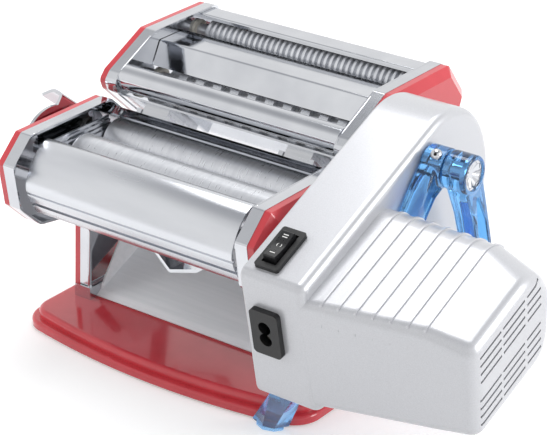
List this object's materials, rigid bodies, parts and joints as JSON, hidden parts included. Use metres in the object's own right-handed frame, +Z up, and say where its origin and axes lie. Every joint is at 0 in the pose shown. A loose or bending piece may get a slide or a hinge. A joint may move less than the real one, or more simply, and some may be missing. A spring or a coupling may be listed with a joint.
{
  "type": "electric pasta maker",
  "caption": "Countertop dough rolling machine with a clip-on pasta cutter head and a plug-in geared motor on its right side.",
  "frame": {"origin": "centre of the base, on the table under the flat underside of its board", "axes": "+X to the motor side, -Y to the person using it, +Z up"},
  "size_m": [0.345, 0.2239, 0.1713],
  "materials": {
    "red_paint": "gloss",
    "chrome_sheet": "polished",
    "chrome_roller": "polished",
    "steel_sheet": "satin",
    "steel_gear": "machined",
    "bearing_plastic": "moulded",
    "board_wood": "sanded",
    "silver_plastic": "gloss",
    "black_plastic": "satin",
    "contact_metal": "nickel plated",
    "motor_iron": "laminated",
    "motor_aluminium": "cast",
    "blue_plastic": "clear blue"
  },
  "bodies": {
    "frame": {"base_plate": "red_paint", "base_board": "board_wood", "left_side_plate": "chrome_sheet", "right_side_plate": "chrome_sheet", "left_side_cover": "red_paint", "right_side_cover": "red_paint", "front_cover": "chrome_sheet", "rear_cover": "chrome_sheet", "chute_plate": "steel_sheet", "leg_clips": "chrome_sheet", "tie_rods": "steel_sheet", "centre_bracket": "chrome_sheet", "side_guides": "chrome_sheet", "rear_scraper": "steel_sheet", "front_scraper": "steel_sheet", "roller_bushes": "bearing_plastic"},
    "rear_roller": {"rear_roller": "chrome_roller", "rear_roller_gear": "steel_gear"},
    "roller_carriage": {"roller_carriage": "steel_sheet"},
    "front_roller": {"front_roller": "chrome_roller", "front_roller_gear": "steel_gear"},
    "regulator": {"thickness_regulator": "chrome_sheet"},
    "cutter_head": {"left_cutter_plate": "chrome_sheet", "right_cutter_plate": "chrome_sheet", "left_cutter_cover": "red_paint", "right_cutter_cover": "red_paint", "front_cutter_tube": "chrome_sheet", "middle_cutter_cover": "chrome_sheet", "rear_cutter_cover": "chrome_sheet", "lower_cutter_strip": "chrome_sheet", "cutter_tie_rods": "steel_sheet", "cutter_rails": "steel_sheet", "cutter_bushes": "bearing_plastic", "wide_combs": "steel_sheet", "fine_combs": "steel_sheet"},
    "wide_driver": {"wide_cutter_driver": "chrome_roller", "wide_driver_gear": "steel_gear"},
    "wide_idler": {"wide_cutter_idler": "chrome_roller", "wide_idler_gear": "steel_gear"},
    "fine_driver": {"fine_cutter_driver": "chrome_roller", "fine_driver_gear": "steel_gear"},
    "fine_idler": {"fine_cutter_idler": "chrome_roller", "fine_idler_gear": "steel_gear"},
    "motor_unit": {"motor_inner_housing": "silver_plastic", "motor_outer_housing": "silver_plastic", "motor_end_cap": "silver_plastic", "switch_bezel": "black_plastic", "inlet_socket": "black_plastic", "inlet_pins": "contact_metal", "motor_stator": "motor_iron", "motor_plate": "motor_aluminium", "gear_bearings": "bearing_plastic", "support_bracket": "blue_plastic", "hub_screws": "chrome_sheet", "front_foot": "blue_plastic"},
    "output_shaft": {"output_shaft": "steel_gear"},
    "reduction": {"reduction_gear": "steel_gear"},
    "rotor": {"motor_rotor": "steel_gear"},
    "rocker": {"rocker_switch": "black_plastic"},
    "support_leg": {"support_leg": "blue_plastic"}
  },
  "joints": [
    {"name": "rotor_spin", "type": "hinge", "parent": "motor_unit", "child": "rotor", "pos_m": [0.17, -0.066, 0.091], "axis": [1, 0, 0], "continuous": true},
    {"name": "reduction_spin", "type": "hinge", "parent": "motor_unit", "child": "reduction", "pos_m": [0.11, -0.04547, 0.10854], "axis": [1, 0, 0], "continuous": true},
    {"name": "output_spin", "type": "hinge", "parent": "motor_unit", "child": "output_shaft", "pos_m": [0.11, -0.0095, 0.11], "axis": [1, 0, 0], "continuous": true},
    {"name": "rear_roller_spin", "type": "hinge", "parent": "frame", "child": "rear_roller", "pos_m": [0, -0.0095, 0.11], "axis": [1, 0, 0], "continuous": true},
    {"name": "front_roller_spin", "type": "hinge", "parent": "roller_carriage", "child": "front_roller", "pos_m": [0, -0.0397, 0.11], "axis": [1, 0, 0], "continuous": true},
    {"name": "regulator_turn", "type": "hinge", "parent": "frame", "child": "regulator", "pos_m": [-0.098, -0.0397, 0.11], "axis": [1, 0, 0], "range_deg": [0, 150]},
    {"name": "front_roller_slide", "type": "slide", "parent": "frame", "child": "roller_carriage", "axis": [0, 1, 0], "range_m": [0, 0.0018]},
    {"name": "cutter_head_lift", "type": "slide", "parent": "frame", "child": "cutter_head", "axis": [0, -0.7314, 0.682], "range_m": [0, 0.06]},
    {"name": "wide_driver_spin", "type": "hinge", "parent": "cutter_head", "child": "wide_driver", "pos_m": [0, 0.0262, 0.1303], "axis": [1, 0, 0], "continuous": true},
    {"name": "wide_idler_spin", "type": "hinge", "parent": "cutter_head", "child": "wide_idler", "pos_m": [0, 0.0452, 0.1303], "axis": [1, 0, 0], "continuous": true},
    {"name": "fine_driver_spin", "type": "hinge", "parent": "cutter_head", "child": "fine_driver", "pos_m": [0, 0.0665, 0.1428], "axis": [1, 0, 0], "continuous": true},
    {"name": "fine_idler_spin", "type": "hinge", "parent": "cutter_head", "child": "fine_idler", "pos_m": [0, 0.0825, 0.151], "axis": [1, 0, 0], "continuous": true},
    {"name": "motor_unit_pull", "type": "slide", "parent": "frame", "child": "motor_unit", "axis": [1, 0, 0], "range_m": [0, 0.04]},
    {"name": "switch_tilt", "type": "hinge", "parent": "motor_unit", "child": "rocker", "pos_m": [0.1117, -0.09633, 0.12477], "axis": [1, 0, 0], "range_deg": [-11, 11]},
    {"name": "support_leg_swing", "type": "hinge", "parent": "motor_unit", "child": "support_leg", "pos_m": [0.16, 0, 0.149], "axis": [1, 0, 0], "range_deg": [0, 75]}
  ],
  "couplings": [
    {"joint": "reduction_spin", "follows": "rotor_spin", "ratio": -0.22727},
    {"joint": "output_spin", "follows": "rotor_spin", "ratio": 0.045455},
    {"joint": "rear_roller_spin", "follows": "rotor_spin", "ratio": 0.045455},
    {"joint": "front_roller_spin", "follows": "rotor_spin", "ratio": -0.045455},
    {"joint": "regulator_turn", "follows": "front_roller_slide", "rad_per_m": 1454.4},
    {"joint": "wide_idler_spin", "follows": "wide_driver_spin", "ratio": -1},
    {"joint": "fine_idler_spin", "follows": "fine_driver_spin", "ratio": -1}
  ]
}
